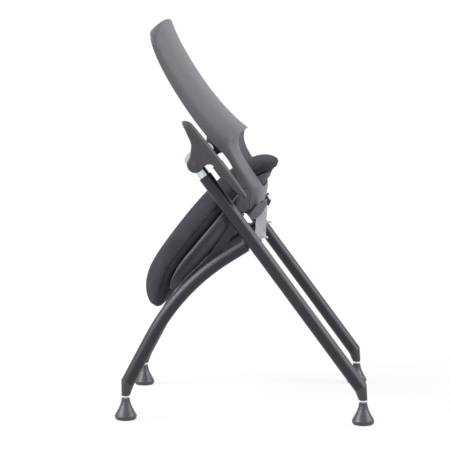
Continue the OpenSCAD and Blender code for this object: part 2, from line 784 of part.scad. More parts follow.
// Places across the shell, as shares of half width and depth
function across(j, n) = let (k = abs(j - open_columns - side_columns))
    k <= open_columns
    ? [open_share * k / open_columns, pow(1 - pow(open_share * k / open_columns, n), 1 / n)]
    : let (d = pow(1 - pow(open_share, n), 1 / n) * (1 - (k - open_columns) / side_columns))
        [pow(1 - pow(d, n), 1 / n), d];
function shell_point(i, j) = let (
    s = across(j, squareness(i)),
    e = edge_line(i),
    m = middle_line(i),
    side = j < open_columns + side_columns ? -1 : 1,
    p = e + (m - e) * s[1]
) [side * half_width(i) * s[0], p[0], p[1]];
function unit(v) = v / norm(v);
// The shell's inward normal
function shell_normal(i, j) = unit(cross(
    shell_point(i, min(j + 1, all_columns)) - shell_point(i, max(j - 1, 0)),
    shell_point(min(i + 1, all_rows), j) - shell_point(max(i - 1, 0), j)));
function has_cell(i, j) = i >= 0 && i < all_rows && j >= 0 && j < all_columns
    && !(i >= bridge_rows && i < low_rows
        && j >= side_columns && j < all_columns - side_columns);
function square_faces(a, b, c, d) = [[a, b, c], [a, c, d]];
module back_shell() {
    wide = all_columns + 1;
    count = (all_rows + 1) * wide;
    outer = [for (i = [0:all_rows]) for (j = [0:all_columns]) shell_point(i, j)];
    inner = [for (i = [0:all_rows]) for (j = [0:all_columns])
        shell_point(i, j) + back_wall * shell_normal(i, j)];
    faces = [for (i = [0:all_rows - 1]) for (j = [0:all_columns - 1]) if (has_cell(i, j))
        let (a = i * wide + j, b = a + 1, c = b + wide, d = a + wide) each concat(
            square_faces(a, b, c, d),
            square_faces(d + count, c + count, b + count, a + count),
            has_cell(i - 1, j) ? [] : square_faces(b, a, a + count, b + count),
            has_cell(i + 1, j) ? [] : square_faces(d, c, c + count, d + count),
            has_cell(i, j - 1) ? [] : square_faces(a, d, d + count, a + count),
            has_cell(i, j + 1) ? [] : square_faces(c, b, b + count, c + count))];
    color(plastic) polyhedron(concat(outer, inner), faces);
}
module hub_caps() {
    color(dark_plastic) both() slab(back_w / 2 + run_gap, cap_t)
        strap(hub - [0, cap_low], hub + [cap_lead, cap_high], cap_r, cap_r);
}
module pan_screws() {
    color(zinc) {
        at_screws(screw_head_r, bar_top - bar_t - screw_head_t, bar_top - bar_t);
        at_screws(screw_r, bar_top - bar_t - screw_head_t / 2,
            board_top - board_skin - seat_gap);
    }
}
// Rubber stops below the rear end of each slot
module slot_bumpers() {
    near = sleeve_r + seat_gap + bumper_r;
    color(rubber) both() slab(plate_x - bumper_t, bumper_t)
        strap(away(cross_at, seat_deg - bumper_deg, near),
            away(cross_at, seat_deg - bumper_deg, near + bumper_r), bumper_r, bumper_r);
}

// Armrests
// Stations along the pad: shares of its length from its front end, then its
// underside and top as shares of its height, then its width share
pad_shares = [
    [0.000, 0.73, 0.76, 0.50], [0.012, 0.735, 0.85, 0.68], [0.035, 0.745, 0.93, 0.82],
    [0.07, 0.755, 0.985, 0.92], [0.13, 0.76, 1, 0.98], [0.30, 0.76, 1, 1],
    [0.48, 0.76, 0.99, 1], [0.65, 0.76, 0.97, 0.98], [0.80, 0.76, 0.94, 0.92],
    [0.92, 0.755, 0.89, 0.82], [0.975, 0.75, 0.84, 0.68], [1.000, 0.745, 0.77, 0.48]
];
base_shares = [
    [0.004, 0.69, 0.715, 0.46], [0.035, 0.65, 0.735, 0.78], [0.08, 0.61, 0.75, 0.90],
    [0.15, 0.55, 0.75, 0.96], [0.28, 0.57, 0.75, 0.98], [0.50, 0.59, 0.75, 0.98],
    [0.65, 0.59, 0.75, 0.95], [0.80, 0.61, 0.75, 0.89], [0.92, 0.64, 0.745, 0.78],
    [0.992, 0.69, 0.72, 0.46]
];
pad_section_shares = [
    [0, 0], [0.6, 0], [0.9, 0.08], [1, 0.35], [0.98, 0.62], [0.88, 0.84], [0.6, 0.96], [0, 1]
];
arm_lead = 0.415;
module arm_form(stations) {
    centre = arm_out - arm_w / 2;
    loft([for (s = stations) [
        for (p = whole(pad_section_shares)) arm_point(centre + p[0] * s[3] * arm_w / 2,
            (s[0] - arm_lead) * arm_len, (s[1] + (s[2] - s[1]) * p[1]) * arm_h)
    ]]);
}
// Side view of the arm web, as shares of the arm's length and height
web_shares = [
    [-0.335, 0.62], [-0.27, 0.545], [-0.21, 0.475], [-0.173, 0.40], [-0.137, 0.24],
    [-0.098, 0.06], [-0.08, -0.10], [0.07, -0.10], [0.076, 0.06], [0.070, 0.23],
    [0.075, 0.385], [0.082, 0.47], [0.100, 0.545], [0.125, 0.585], [0.17, 0.62]
];
module arm_bracket() {
    color(plastic) difference() {
        union() {
            arm_form(base_shares);
            slab(arm_out - arm_web, arm_web) polygon([for (s = web_shares) let (
                p = arm_point(0, s[0] * arm_len, s[1] * arm_h)) [p[1], p[2]]]);
            pin(arm_at, arm_hub_r, arm_out - arm_web, arm_web);
            pin(arm_at, boss_r, knuckle_in + knuckle_t + seat_gap,
                arm_out - arm_web - knuckle_in - knuckle_t);
        }
        pin(arm_at, pivot_r + run_gap, knuckle_in, arm_out - knuckle_in - pivot_cap_t);
    }
}
module arm_pad() {
    color(dark_plastic) arm_form(pad_shares);
}
module arm_cap() {
    color(plastic) pin(arm_at, pivot_cap_r, arm_out, pivot_cap_t);
}

rear_leg();  // rear_leg_left
right_side() rear_leg();  // rear_leg_right
front_leg();  // front_leg_left
right_side() front_leg();  // front_leg_right
leg_joint();  // leg_joint_left
right_side() leg_joint();  // leg_joint_right
front_cross_tube();
guide_sleeves();
front_ferrules();
rear_ferrules();
glide_studs();
arm_post();  // arm_post_left
right_side() arm_post();  // arm_post_right
arm_pins();
link_studs();
link_spacers();
link();  // link_left
right_side() link();  // link_right
yoke_tube();
link_bushes();
stop_hooks();
side_plate(true);  // side_plate_left
right_side() side_plate(false);  // side_plate_right
seat_bars();
hub_blocks();
yoke_bushes();
yoke_housing();
latch_cover();
seat_pan();
seat_board();
seat_cushion();
back_shell();
hub_caps();
back_bolts();
pan_screws();
slot_bumpers();
lever_pin();
lever_springs();
release_lever();
lever_tip();
arm_bracket();  // arm_bracket_left
right_side() arm_bracket();  // arm_bracket_right
arm_pad();  // arm_pad_left
right_side() arm_pad();  // arm_pad_right
arm_cap();  // arm_caps_left
right_side() arm_cap();  // arm_caps_right
glide(front_track, -foot_reach);  // glide_front_left
glide(-front_track, -foot_reach);  // glide_front_right
glide(rear_track, foot_reach);  // glide_rear_left
glide(-rear_track, foot_reach);  // glide_rear_right
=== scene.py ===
import json
import math

import bmesh
import bpy
import numpy as np
from mathutils import Matrix, Vector
from mathutils.bvhtree import BVHTree


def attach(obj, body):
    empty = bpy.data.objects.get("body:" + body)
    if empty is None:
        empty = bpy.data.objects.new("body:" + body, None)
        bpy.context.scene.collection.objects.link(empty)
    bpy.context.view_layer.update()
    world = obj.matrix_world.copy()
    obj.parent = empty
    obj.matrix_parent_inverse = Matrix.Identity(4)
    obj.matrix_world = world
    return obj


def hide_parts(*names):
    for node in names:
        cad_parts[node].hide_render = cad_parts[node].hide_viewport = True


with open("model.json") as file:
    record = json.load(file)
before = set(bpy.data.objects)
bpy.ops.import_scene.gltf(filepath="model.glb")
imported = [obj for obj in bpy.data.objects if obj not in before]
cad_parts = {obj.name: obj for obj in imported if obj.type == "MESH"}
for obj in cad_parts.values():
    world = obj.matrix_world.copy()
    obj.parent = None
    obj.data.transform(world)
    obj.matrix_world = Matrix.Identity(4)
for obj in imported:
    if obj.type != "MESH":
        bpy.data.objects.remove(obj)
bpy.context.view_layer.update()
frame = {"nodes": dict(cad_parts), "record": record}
scene = bpy.context.scene
MM = 0.001

# ---------------------------------------------------------------- camera
FOCAL_PX = 1791.352
SHOT_PX = 450.0
SENSOR = 36.0
EYE = Vector((4.42867, 0.152025, 0.816319))
YAW, PITCH, ROLL = 0.0467107, 0.0837253, -0.0019608


def set_camera():
    cam = bpy.data.objects.new("camera", bpy.data.cameras.new("camera"))
    scene.collection.objects.link(cam)
    level = math.cos(PITCH)
    ahead = Vector((-level * math.cos(YAW), -level * math.sin(YAW), -math.sin(PITCH)))
    right = ahead.cross(Vector((0, 0, 1))).normalized()
    up = right.cross(ahead)
    c, s = math.cos(ROLL), math.sin(ROLL)
    right, up = c * right + s * up, c * up - s * right
    pose = Matrix((right, up, -ahead)).transposed().to_4x4()
    pose.translation = EYE
    cam.matrix_world = pose
    cam.data.sensor_width = SENSOR
    cam.data.sensor_fit = "HORIZONTAL"
    cam.data.lens = FOCAL_PX / SHOT_PX * SENSOR
    cam.data.clip_end = 100
    scene.camera = cam


set_camera()


# ---------------------------------------------------------------- materials
def srgb(h):
    """A hex colour as linear numbers."""
    c = [int(h[k:k + 2], 16) / 255 for k in (0, 2, 4)]
    return tuple(x / 12.92 if x <= 0.04045 else ((x + 0.055) / 1.055) ** 2.4 for x in c) + (1,)


class Shader:
    """A material with a short way to add and join nodes."""

    def __init__(self, name):
        self.mat = bpy.data.materials.new(name)
        self.mat.use_nodes = True
        self.tree = self.mat.node_tree
        self.tree.nodes.clear()
        self.out = self.node("ShaderNodeOutputMaterial")
        self.main = self.node("ShaderNodeBsdfPrincipled")
        self.tree.links.new(self.main.outputs[0], self.out.inputs["Surface"])
        self.place = self.node("ShaderNodeTexCoord").outputs["Object"]

    def node(self, kind, **settings):
        n = self.tree.nodes.new(kind)
        for key, value in settings.items():
            setattr(n, key, value)
        return n

    def join(self, a, b):
        self.tree.links.new(a, b)

    def put(self, node, **values):
        for key, value in values.items():
            socket = node.inputs[key.replace("_", " ")]
            if isinstance(value, bpy.types.NodeSocket):
                self.join(value, socket)
            else:
                socket.default_value = value
        return node

    def noise(self, scale, detail=3.0, rough=0.5, at=None, distortion=0.0):
        n = self.node("ShaderNodeTexNoise")
        self.put(n, Vector=at or self.place, Scale=scale, Detail=detail,
                 Roughness=rough, Distortion=distortion)
        return n.outputs["Fac"]

    def cells(self, scale):
        n = self.node("ShaderNodeTexVoronoi", feature="F1")
        self.put(n, Vector=self.place, Scale=scale)
        return n.outputs["Distance"]

    def scaled(self, factors, turn=(0, 0, 0)):
        n = self.node("ShaderNodeMapping")
        self.put(n, Vector=self.place, Scale=factors, Rotation=turn)
        return n.outputs[0]

    def band(self, value, low, high, to_low=0.0, to_high=1.0):
        n = self.node("ShaderNodeMapRange")
        self.put(n, Value=value)
        for k, v in zip(("From Min", "From Max", "To Min", "To Max"), (low, high, to_low, to_high)):
            n.inputs[k].default_value = v
        return n.outputs[0]

    def math(self, how, a, b=0.0):
        n = self.node("ShaderNodeMath", operation=how)
        for k, v in enumerate((a, b)):
            if isinstance(v, bpy.types.NodeSocket):
                self.join(v, n.inputs[k])
            else:
                n.inputs[k].default_value = v
        return n.outputs[0]

    def blend(self, fac, a, b):
        n = self.node("ShaderNodeMix", data_type="RGBA")
        self.join(fac, n.inputs[0])
        for k, v in ((6, a), (7, b)):
            if isinstance(v, bpy.types.NodeSocket):
                self.join(v, n.inputs[k])
            else:
                n.inputs[k].default_value = v
        return n.outputs[2]

    def bump(self, height, strength, distance, under=None):
        n = self.node("ShaderNodeBump")
        self.put(n, Height=height, Strength=strength, Distance=distance)
        if under is not None:
            self.join(under, n.inputs["Normal"])
        return n.outputs[0]


GRAIN, CELLS = 1400.0, 770.0


def plastic(name, light, dark, depth=0.00005, rough=(0.42, 0.52), spec=0.5):
    """Moulded plastic with a fine eroded grain."""
    s = Shader(name)
    tone = s.noise(14, 2)
    col = s.blend(tone, light, dark)
    speck = s.noise(GRAIN, 2, 0.6)
    r = s.band(s.noise(60, 3), 0.3, 0.7, *rough)
    n = s.bump(speck, 0.30, depth)
    n = s.bump(s.cells(CELLS), 0.12, depth, n)
    s.put(s.main, Base_Color=col, Roughness=r, Normal=n)
    s.main.inputs["Specular IOR Level"].default_value = spec
    return s.mat


COAT_TINT = (0.90, 0.88, 1.0, 1)


def powder(name, light, dark, rough, spec=0.3):
    """Powder coat: a slight orange peel, fine texture and a cool gloss."""
    s = Shader(name)
    col = s.blend(s.noise(22, 3), light, dark)
    peel = s.noise(520, 2, 0.5)
    fine = s.noise(1900, 2, 0.6)
    n = s.bump(fine, 0.03, 0.00003, s.bump(peel, 0.04, 0.00006))
    r = s.band(s.noise(90, 3), 0.3, 0.7, *rough)
    s.put(s.main, Base_Color=col, Roughness=r, Normal=n)
    s.main.inputs["Specular IOR Level"].default_value = spec
    s.main.inputs["Specular Tint"].default_value = COAT_TINT
    return s.mat


def metal(name, light, dark, rough=(0.05, 0.11), brushed=None):
    """Polished metal, or brushed where the streaks' factors are given."""
    s = Shader(name)
    s.main.inputs["Metallic"].default_value = 1.0
    col = s.blend(s.noise(30, 2), light, dark)
    if brushed:
        streak = s.noise(240, 3, 0.6, at=s.scaled(brushed))
        n = s.bump(streak, 0.25, 0.00006)
    else:
        n = s.bump(s.noise(300, 2), 0.06, 0.00004)
    r = s.band(s.noise(140, 4), 0.3, 0.7, *rough)
    s.put(s.main, Base_Color=col, Roughness=r, Normal=n)
    return s.mat


THREAD_PITCH = 1.15


def weave(name, light, dark, tilt):
    """Woven upholstery: crossed threads, tufts of lighter yarn and a soft sheen."""
    s = Shader(name)
    turned = s.scaled((1, 1, 1), turn=(tilt, 0, 0))
    k = 2 * math.pi / (THREAD_PITCH * MM)
    sep = s.node("ShaderNodeSeparateXYZ")
    s.join(turned, sep.inputs[0])
    warp = s.math("SINE", s.math("MULTIPLY", sep.outputs["X"], k))
    weft = s.math("SINE", s.math("MULTIPLY", sep.outputs["Y"], k))
    rise = s.math("SINE", s.math("MULTIPLY", sep.outputs["Z"], k))
    over = s.math("MULTIPLY", warp, s.math("ADD", weft, rise))
    slub = s.noise(420, 3, 0.6)
    height = s.math("ADD", s.math("MULTIPLY", over, 0.5), s.math("MULTIPLY", slub, 0.9))
    tufts, patches = s.noise(900, 3, 0.7), s.noise(16, 3)
    mottled = s.math("ADD", s.math("MULTIPLY", tufts, 0.7), s.math("MULTIPLY", patches, 0.3))
    col = s.blend(s.band(mottled, 0.36, 0.66), dark, light)
    s.put(s.main, Base_Color=col, Roughness=0.93, Normal=s.bump(height, 0.5, 0.00025))
    s.main.inputs["Specular IOR Level"].default_value = 0.12
    s.main.inputs["Sheen Weight"].default_value = 0.22
    s.main.inputs["Sheen Roughness"].default_value = 0.45
    s.main.inputs["Sheen Tint"].default_value = srgb("8f8f96")
    return s.mat


def plywood(name):
    """Birch ply with rings drawn out along X."""
    s = Shader(name)
    rings = s.noise(40, 5, 0.6, at=s.scaled((1, 12, 12)), distortion=0.6)
    col = s.blend(s.band(rings, 0.3, 0.7), srgb("b08a5c"), srgb("d8b98a"))
    s.put(s.main, Base_Color=col, Roughness=0.65, Normal=s.bump(rings, 0.3, 0.0002))
    return s.mat


SEAT_DEG = math.radians(50)
MATS = {
    "frame_coat": powder("frame_coat", srgb("131216"), srgb("111014"), (0.36, 0.41), 0.52),
    "back_plastic": plastic("back_plastic", srgb("625f65"), srgb("5e5b61"), spec=0.3),
    "arm_plastic": plastic("arm_plastic", srgb("49474d"), srgb("454349"), spec=0.3),
    "pan_plastic": plastic("pan_plastic", srgb("4a494f"), srgb("45444a"), spec=0.4),
    "trim_plastic": plastic("trim_plastic", srgb("39383d"), srgb("353439"), rough=(0.32, 0.42)),
    "seat_fabric": weave("seat_fabric", srgb("47464c"), srgb("2b2a30"), tilt=-SEAT_DEG),
    "chrome": metal("chrome", (0.62, 0.64, 0.69, 1), (0.50, 0.52, 0.57, 1)),
    "zinc": metal("zinc", (0.70, 0.71, 0.73, 1), (0.60, 0.61, 0.63, 1),
                  rough=(0.25, 0.38), brushed=(1, 14, 14)),
    "link_steel": powder("link_steel", srgb("e2e1e5"), srgb("d8d7db"), (0.3, 0.4)),
    "cover_plastic": plastic("cover_plastic", srgb("7c7980"), srgb("77747b"), spec=0.4),
    "glide_plastic": plastic("glide_plastic", srgb("47464c"), srgb("434248"),
                             depth=0.00002, rough=(0.30, 0.38), spec=0.45),
    "rubber": plastic("rubber", srgb("202022"), srgb("1b1b1d"), rough=(0.7, 0.8), spec=0.3),
    "nylon": plastic("nylon", srgb("d8d8d2"), srgb("cfcfc8")),
    "plywood": plywood("plywood"),
}
GLIDES = ["glide_front_left", "glide_front_right", "glide_rear_left", "glide_rear_right"]
for part in frame["record"]["subparts"]:
    obj = frame["nodes"][part["node"]]
    obj.data.materials.clear()
    slot = "glide_plastic" if part["node"] in GLIDES else part["material_slot"]
    obj.data.materials.append(MATS[slot])


# ---------------------------------------------------------------- mesh helpers
def shade_smooth(obj):
    obj.data.polygons.foreach_set("use_smooth", [True] * len(obj.data.polygons))


def new_mesh(name, points, faces):
    mesh = bpy.data.meshes.new(name)
    mesh.from_pydata([tuple(p) for p in points], [], [tuple(f) for f in faces])
    mesh.validate()
    mesh.update()
    obj = bpy.data.objects.new(name, mesh)
    scene.collection.objects.link(obj)
    shade_smooth(obj)
    return obj


def apply_all(obj):
    """Freezes an object's modifiers into its mesh."""
    bpy.context.view_layer.update()
    graph = bpy.context.evaluated_depsgraph_get()
    done = bpy.data.meshes.new_from_object(obj.evaluated_get(graph), depsgraph=graph)
    old = obj.data
    obj.modifiers.clear()
    obj.data = done
    bpy.data.meshes.remove(old)
    return obj


def outward(obj):
    """Turns every face to the outside."""
    bm = bmesh.new()
    bm.from_mesh(obj.data)
    bmesh.ops.recalc_face_normals(bm, faces=bm.faces)
    bm.to_mesh(obj.data)
    bm.free()
    return obj


def coords(obj):
    co = np.empty(len(obj.data.vertices) * 3)
    obj.data.vertices.foreach_get("co", co)
    return co.reshape(-1, 3)


def set_coords(obj, co):
    obj.data.vertices.foreach_set("co", np.asarray(co, float).ravel())
    obj.data.update()


def normals(obj):
    no = np.empty(len(obj.data.vertices) * 3)
    obj.data.vertices.foreach_get("normal", no)
    return no.reshape(-1, 3)


def through(t, key, x):
    """Where a line through the points t is at x: straight, and as a Catmull-Rom curve."""
    i = min(np.searchsorted(key, x, side="right") - 1, len(t) - 2)
    f = (x - key[i]) / (key[i + 1] - key[i])
    p0, p1, p2, p3 = t[max(i - 1, 0)], t[i], t[i + 1], t[min(i + 2, len(t) - 1)]
    curve = 0.5 * (2 * p1 + (p2 - p0) * f + (2 * p0 - 5 * p1 + 4 * p2 - p3) * f * f
                   + (3 * p1 - p0 - 3 * p2 + p3) * f ** 3)
    return p1 + (p2 - p1) * f, curve


def smooth_table(rows, count):
    """A table of stations, filled in along a curve through them."""
    t = np.array(rows, float)
    key = np.concatenate([[0], np.cumsum(np.sqrt(np.abs(np.diff(t[:, 0])) + 1e-4))])
    return np.array([through(t, key, x)[1] for x in np.linspace(0, key[-1], count)])


def ring_loft(name, rings):
    """A closed skin through rings of points, with a fan at each end."""
    rings = np.asarray(rings)
    m, n = rings.shape[:2]
    pts = list(rings.reshape(-1, 3)) + [rings[0].mean(0), rings[-1].mean(0)]
    faces = [(i * n + j, i * n + (j + 1) % n, (i + 1) * n + (j + 1) % n, (i + 1) * n + j)
             for i in range(m - 1) for j in range(n)]
    faces += [(m * n, (j + 1) % n, j) for j in range(n)]
    faces += [(m * n + 1, (m - 1) * n + j, (m - 1) * n + (j + 1) % n) for j in range(n)]
    return outward(new_mesh(name, pts, faces))


def full_ring(half, count):
    """A half section of shares, filled in and mirrored to a whole one."""
    t = np.array(half, float)
    key = np.concatenate([[0], np.cumsum(np.hypot(*np.diff(t, axis=0).T))])
    out = []
    for x in np.linspace(0, key[-1], count):
        a, b = through(t, key, x)
        out.append(0.25 * a + 0.75 * b)
    out[0][0] = out[-1][0] = 0
    left = [(-x, y) for x, y in out[-2:0:-1]]
    return np.array([tuple(p) for p in out] + left)


def tube(name, points, radius, sides=10, closed=True):
    """A round bar along a line of points."""
    p = np.asarray(points, float)
    n = len(p)
    verts, faces = [], []
    last = None
    for i in range(n):
        a = p[(i - 1) % n] if closed or i > 0 else p[i]
        b = p[(i + 1) % n] if closed or i < n - 1 else p[i]
        t = (b - a) / np.linalg.norm(b - a)
        if last is None:
            last = np.cross(t, [0, 0, 1.0])
            if np.linalg.norm(last) < 1e-3:
                last = np.cross(t, [1.0, 0, 0])
        side = last - t * (last @ t)
        side /= np.linalg.norm(side)
        last = side
        other = np.cross(t, side)
        for k in range(sides):
            w = 2 * math.pi * k / sides
            verts.append(p[i] + radius * (math.cos(w) * side + math.sin(w) * other))
    for i in range(n if closed else n - 1):
        for k in range(sides):
            a, b = i * sides + k, i * sides + (k + 1) % sides
            c, d = ((i + 1) % n) * sides + (k + 1) % sides, ((i + 1) % n) * sides + k
            faces.append((a, b, c, d))
    if not closed:
        faces.append(tuple(range(sides)))
        faces.append(tuple(range((n - 1) * sides, n * sides)))
    return outward(new_mesh(name, verts, faces))


def bevel(obj, width, segments=3, angle=40):
    """Rounds the edges sharper than an angle in degrees."""
    m = obj.modifiers.new("bevel", "BEVEL")
    m.width = width
    m.segments = segments
    m.limit_method = "ANGLE"
    m.angle_limit = math.radians(angle)
    m.harden_normals = False
    return apply_all(obj)


def side_slab(name, outline, x0, x1, edge=1.2, segments=3):
    """A side view, a list of (y, z) in mm, drawn out along X with soft edges."""
    n = len(outline)
    pts = [(x * MM, y * MM, z * MM) for x in (x0, x1) for y, z in outline]
    faces = [tuple(range(n - 1, -1, -1)), tuple(range(n, 2 * n))]
    faces += [(k, (k + 1) % n, n + (k + 1) % n, n + k) for k in range(n)]
    obj = outward(new_mesh(name, pts, faces))
    return bevel(obj, edge * MM, segments) if edge else obj


def mirrored(obj, name):
    """A copy of an object, mirrored in X."""
    twin = bpy.data.objects.new(name, obj.data.copy())
    scene.collection.objects.link(twin)
    co = coords(twin)
    co[:, 0] *= -1
    set_coords(twin, co)
    twin.data.flip_normals()
    return twin


def remesh(obj, size, smooth=0):
    """Fuses an object into one skin of voxels of a size in mm, then relaxes it."""
    m = obj.modifiers.new("remesh", "REMESH")
    m.mode = "VOXEL"
    m.voxel_size = size * MM
    m.use_smooth_shade = True
    if smooth:
        c = obj.modifiers.new("smooth", "SMOOTH")
        c.factor = 0.5
        c.iterations = smooth
    return apply_all(obj)


def joined(name, objs):
    """One object from several, which it takes the place of."""
    bm = bmesh.new()
    for o in objs:
        bm.from_mesh(o.data)
        bpy.data.objects.remove(o)
    mesh = bpy.data.meshes.new(name)
    bm.to_mesh(mesh)
    bm.free()
    obj = bpy.data.objects.new(name, mesh)
    scene.collection.objects.link(obj)
    return obj


def dress(obj, slot, body, *nodes):
    """Gives a piece its material and body, and the CAD nodes that it replaces."""
    obj.data.materials.clear()
    obj.data.materials.append(MATS[slot])
    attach(obj, body)
    if nodes:
        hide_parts(*nodes)
    return obj


# ---------------------------------------------------------------- the chair's own measures, in mm
LINK_TOP = np.array([38.0539, 498.9895])
HUB = np.array([-0.0461, 523.2895])
SEAT_ALONG = np.array([math.cos(SEAT_DEG), math.sin(SEAT_DEG)])
SEAT_OFF = np.array([-math.sin(SEAT_DEG), math.cos(SEAT_DEG)])
SEAT_ORIGIN = LINK_TOP - 307.7 * SEAT_ALONG + 36.9 * SEAT_OFF
CUSHION = (461.0, 430.0, 88.0)
NOSE = 47.0
PAN_W, PAN_DROP = 422.0, 15.0


def seat_point(x, u, v):
    p = SEAT_ORIGIN + u * SEAT_ALONG + v * SEAT_OFF
    return np.array([x, p[0], p[1]]) * MM


def seat_uv(co):
    """Places in the seat's own frame, in mm."""
    d = co[:, 1:] / MM - SEAT_ORIGIN
    return co[:, 0] / MM, d @ SEAT_ALONG, d @ SEAT_OFF


# ---------------------------------------------------------------- seat cushion
# Along the cushion: share of its length, underside and top as shares of its
# height, and half width as a share. SECTION is its half section.
CUSHION_ROWS = [
    [0.000, 0.13, 0.21, 0.58], [0.006, 0.03, 0.33, 0.70], [0.022, -0.07, 0.47, 0.80],
    [0.045, -0.11, 0.60, 0.875], [0.085, -0.09, 0.75, 0.935], [0.135, 0.00, 0.86, 0.975],
    [0.20, 0.16, 0.925, 0.99], [0.26, 0.235, 0.955, 0.992], [0.32, 0.27, 0.975, 0.99],
    [0.39, 0.27, 0.99, 0.986], [0.46, 0.27, 1, 0.984], [0.53, 0.27, 1, 0.986],
    [0.59, 0.27, 0.99, 0.97], [0.635, 0.27, 0.975, 0.90], [0.675, 0.27, 0.96, 0.80],
    [0.72, 0.27, 0.935, 0.755], [0.78, 0.265, 0.88, 0.745], [0.84, 0.24, 0.80, 0.74],
    [0.89, 0.16, 0.70, 0.73], [0.93, 0.05, 0.59, 0.705], [0.96, -0.03, 0.47, 0.665],
    [0.98, -0.09, 0.36, 0.60], [0.993, -0.08, 0.24, 0.53], [1.000, -0.02, 0.12, 0.44]]
SECTION = [
    [0, 0], [0.45, 0], [0.90, 0], [0.96, 0.035], [0.985, 0.12], [0.985, 0.24], [1, 0.33],
    [0.985, 0.46], [0.94, 0.62], [0.85, 0.77], [0.71, 0.88], [0.52, 0.95], [0.28, 0.985], [0, 1]]
SEAM_SHARE, SEAM_DEPTH, SEAM_SPREAD = 0.345, 0.8, 2.2
WELT_R, WELT_LIFT = 0.7, 0.1
PUFF_SHRINK, PUFF_VOXEL, PUFF_PRESSURE, PUFF_CAP, PUFF_FRAMES = 3.0, 5.0, 4.0, 5.0, 20
# Where the underside rests on the pan: its height, ends and half width, as shares
REST_HIGH, REST_FRONT, REST_REAR, REST_SIDE = 0.275, 0.28, 0.80, 0.80


def cushion_shape(name, shrink):
    """The cushion's form, drawn in by a number of mm."""
    ring = full_ring(SECTION, 40)
    rings = []
    for s in smooth_table(CUSHION_ROWS, 90):
        low, high = s[1] * CUSHION[2], s[2] * CUSHION[2]
        rings.append([seat_point(p[0] * (s[3] * CUSHION[1] / 2 - shrink), s[0] * CUSHION[0] - NOSE,
                                 low + (high - low - shrink) * p[1]) for p in ring])
    return ring_loft(name, rings)


def puff(obj, pressure, cap, pinned, frames):
    """Blows a pad up with cloth pressure, and keeps each point within a cap."""
    start = coords(obj)
    group = obj.vertex_groups.new(name="pin")
    group.add([int(k) for k in np.nonzero(pinned)[0]], 1.0, "REPLACE")
    m = obj.modifiers.new("cloth", "CLOTH")
    s = m.settings
    s.quality = 6
    s.mass = 0.35
    s.tension_stiffness = 12
    s.compression_stiffness = 12
    s.shear_stiffness = 6
    s.bending_stiffness = 0.6
    s.use_pressure = True
    s.uniform_pressure_force = pressure
    s.vertex_group_mass = "pin"
    s.effector_weights.gravity = 0
    m.point_cache.frame_start = 1
    m.point_cache.frame_end = frames
    for f in range(1, frames + 1):
        scene.frame_set(f)
    graph = bpy.context.evaluated_depsgraph_get()
    moved = obj.evaluated_get(graph)
    co = np.empty(len(start) * 3)
    moved.data.vertices.foreach_get("co", co)
    shift = co.reshape(-1, 3) - start
    far = np.linalg.norm(shift, axis=1, keepdims=True)
    shift *= np.minimum(1, cap * MM / np.maximum(far, 1e-9))
    obj.modifiers.clear()
    obj.vertex_groups.clear()
    set_coords(obj, start + shift)
    scene.frame_set(1)


def make_cushion():
    obj = cushion_shape("cushion", PUFF_SHRINK)
    remesh(obj, PUFF_VOXEL)
    x, u, v = seat_uv(coords(obj))
    flat = (v < REST_HIGH * CUSHION[2]) & (np.abs(x) < REST_SIDE * CUSHION[1] / 2)
    flat &= (u > REST_FRONT * CUSHION[0] - NOSE) & (u < REST_REAR * CUSHION[0] - NOSE)
    puff(obj, PUFF_PRESSURE, PUFF_CAP, flat, PUFF_FRAMES)
    m = obj.modifiers.new("smooth", "SMOOTH")
    m.iterations = 3
    m.factor = 0.4
    s = obj.modifiers.new("fine", "SUBSURF")
    s.levels = s.render_levels = 1
    apply_all(obj)
    # The seam between the top cover and the side band, round the sides and ends
    table = np.array(CUSHION_ROWS)
    x, u, v = seat_uv(coords(obj))
    share = (u + NOSE) / CUSHION[0]
    low = np.interp(share, table[:, 0], table[:, 1]) * CUSHION[2]
    high = np.interp(share, table[:, 0], table[:, 2]) * CUSHION[2]
    off = v - (low + (high - low) * SEAM_SHARE)
    side = np.abs(x) > 0.4 * CUSHION[1] / 2 * np.interp(share, table[:, 0], table[:, 3])
    ends = (share < 0.02) | (share > 0.985)
    dip = SEAM_DEPTH * np.exp(-(off / SEAM_SPREAD) ** 2) * (side | ends)
    set_coords(obj, coords(obj) - normals(obj) * dip[:, None] * MM)
    dress(obj, "seat_fabric", "seat_back", "seat_cushion")
    return obj


cushion = make_cushion()


def seam_line(surface, share, count=420):
    """The seam's closed loop, laid on the cushion's surface."""
    tree = BVHTree.FromObject(surface, bpy.context.evaluated_depsgraph_get())
    pts = []
    half = np.linspace(0, 1, count // 2)
    line = smooth_table(CUSHION_ROWS, 200)

    def place(s):
        """The half width and the seam's height at a share of the length."""
        low, high, w = [np.interp(s, line[:, 0], line[:, k]) for k in (1, 2, 3)]
        return w * CUSHION[1] / 2, (low + (high - low) * share) * CUSHION[2]

    for side in (1, -1):
        for s in (half if side == 1 else half[::-1]):
            w, v = place(s)
            pts.append(seat_point(side * w * 1.02, s * CUSHION[0] - NOSE, v))
        # Across the rear end, then across the front end
        s = 1.0 if side == 1 else 0.0
        w, v = place(s)
        for k in np.linspace(0, 1, 60)[1:-1]:
            pts.append(seat_point(side * w * (1 - 2 * k), s * CUSHION[0] - NOSE + side, v))
    laid = []
    for p in pts:
        q, n, _, _ = tree.find_nearest(Vector(p))
        laid.append(np.array(q + n * WELT_LIFT * MM))
    laid = np.array(laid)
    for _ in range(6):
        laid = 0.5 * laid + 0.25 * (np.roll(laid, 1, 0) + np.roll(laid, -1, 0))
    return laid


loop = seam_line(cushion, SEAM_SHARE)
dress(tube("cushion_welt", loop, WELT_R * MM, 8), "seat_fabric", "seat_back")

